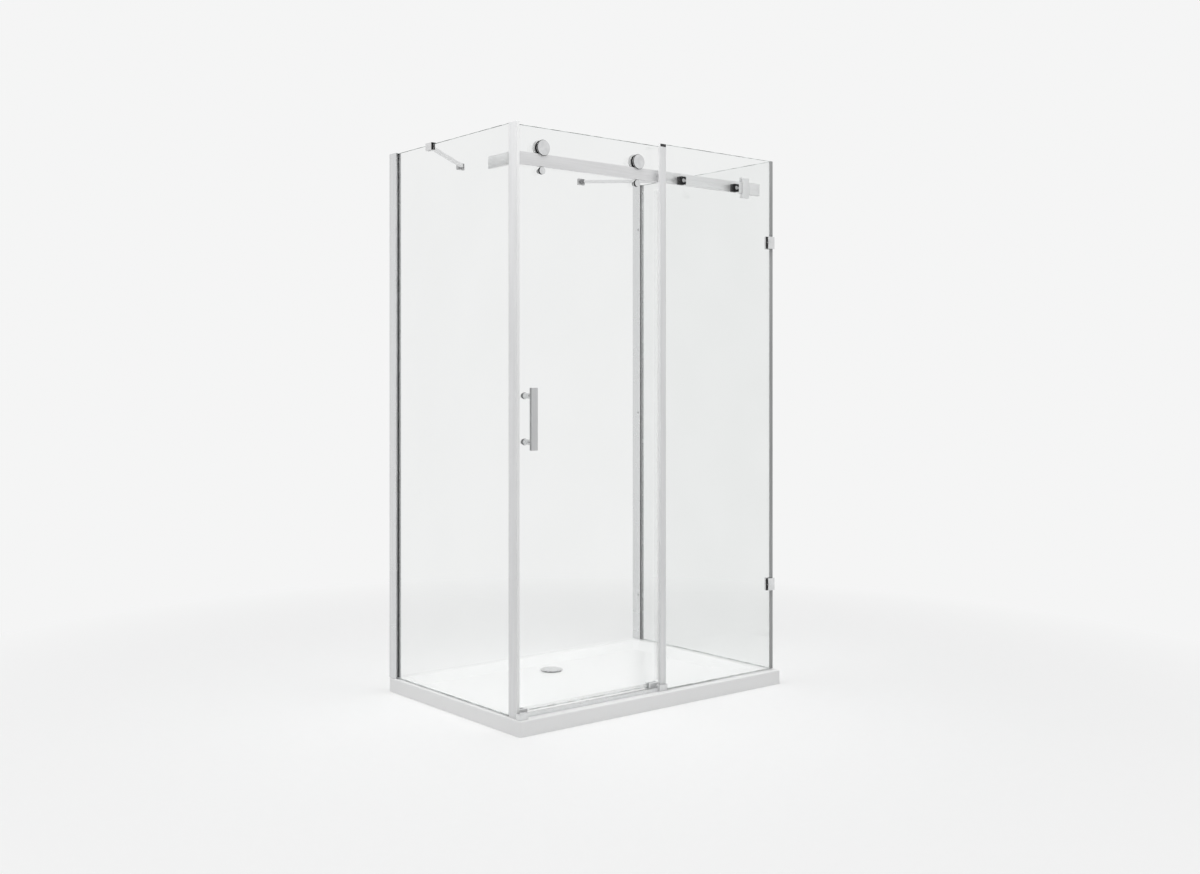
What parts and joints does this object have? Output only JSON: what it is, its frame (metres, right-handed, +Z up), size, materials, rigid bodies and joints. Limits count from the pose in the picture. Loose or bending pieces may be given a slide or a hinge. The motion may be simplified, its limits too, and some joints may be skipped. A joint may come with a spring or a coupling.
{
  "type": "shower enclosure with sliding door",
  "caption": "Frameless three-sided glass shower enclosure on a low tray, with a sliding glass door hung on rollers from a top rail.",
  "frame": {"origin": "middle of the shower tray's underside, on the floor", "axes": "+X to the right as seen from the front, along the sliding door's opening travel; +Y towards the wall that closes the open back; +Z up"},
  "size_m": [1.2, 0.8, 1.946],
  "materials": {
    "glass": "clear toughened safety glass, polished edges",
    "tray_acrylic": "white acrylic face, satin gloss",
    "satin_steel": "satin stainless steel",
    "chrome": "polished chrome",
    "bolt_steel": "plain stainless fixings",
    "profile_aluminium": "bright anodised extrusion",
    "grey_plastic": "moulded grey plastic",
    "white_nylon": "nylon",
    "black_coated": "black coated metal",
    "dark_rubber": "matt black rubber",
    "clear_seal": "clear flexible vinyl",
    "frosted_seal": "pale grey frosted vinyl",
    "corner_trim": "smoke grey vinyl",
    "magnet_strip": "white flexible magnet strip"
  },
  "bodies": {
    "enclosure": {"left_return_glass": "glass", "right_return_glass": "glass", "fixed_front_glass": "glass", "shower_tray": "tray_acrylic", "rail_bar": "satin_steel", "rail_corner_bracket": "satin_steel", "rail_end_sleeve": "satin_steel", "rail_stopper": "satin_steel", "brace_bars": "satin_steel", "brace_clamps": "satin_steel", "brace_wall_plates": "satin_steel", "clamp_outer_plates": "chrome", "clamp_inner_plates": "chrome", "waste_body": "chrome", "rail_bracket_screws": "bolt_steel", "rail_bolts": "bolt_steel", "guide_screws": "bolt_steel", "profile_screws": "bolt_steel", "clamp_screws": "bolt_steel", "wall_profile_left": "profile_aluminium", "wall_profile_right": "profile_aluminium", "inner_profiles": "profile_aluminium", "profile_end_caps": "profile_aluminium", "threshold_bar": "profile_aluminium", "fixed_glass_foot": "profile_aluminium", "corner_guide": "grey_plastic", "middle_guide": "grey_plastic", "waste_locknut": "grey_plastic", "rail_spacers": "black_coated", "rail_clamp_plates": "black_coated", "profile_gaskets": "dark_rubber", "rail_gaskets": "dark_rubber", "clamp_gaskets": "dark_rubber", "waste_gasket": "dark_rubber", "stopper_bumper": "dark_rubber", "glass_base_seals": "clear_seal", "bracket_pad": "clear_seal", "left_corner_seal": "frosted_seal", "fixed_edge_seal": "frosted_seal", "right_corner_seal": "corner_trim", "left_magnet_strip": "magnet_strip"},
    "sliding_door": {"door_glass": "glass", "door_lead_seal": "clear_seal", "door_trailing_seal": "clear_seal", "door_sweep": "clear_seal", "roller_axles": "bolt_steel", "roller_caps": "chrome", "roller_washers": "chrome", "roller_bushes": "dark_rubber", "roller_nuts": "chrome", "lift_stops": "chrome", "lift_stop_screws": "chrome", "handle_bar": "chrome", "handle_posts": "chrome", "handle_screws": "chrome"},
    "left_roller": {"roller_wheel_left": "white_nylon", "roller_bearing_left": "bolt_steel"},
    "right_roller": {"roller_wheel_right": "white_nylon", "roller_bearing_right": "bolt_steel"},
    "waste_cover": {"drain_cover": "chrome"}
  },
  "joints": [
    {"name": "door_slide", "type": "slide", "parent": "enclosure", "child": "sliding_door", "axis": [1, 0, 0], "range_m": [0, 0.473]},
    {"name": "left_roller_spin", "type": "hinge", "parent": "sliding_door", "child": "left_roller", "pos_m": [-0.4705, -0.3437, 1.8703], "axis": [0, 1, 0], "range_deg": [0, 1400]},
    {"name": "right_roller_spin", "type": "hinge", "parent": "sliding_door", "child": "right_roller", "pos_m": [-0.0605, -0.3437, 1.8703], "axis": [0, 1, 0], "range_deg": [0, 1400]},
    {"name": "cover_lift", "type": "slide", "parent": "enclosure", "child": "waste_cover", "axis": [0, 0, 1], "range_m": [0, 0.05]}
  ],
  "couplings": [
    {"joint": "left_roller_spin", "follows": "door_slide", "rad_per_m": 50},
    {"joint": "right_roller_spin", "follows": "door_slide", "rad_per_m": 50}
  ]
}
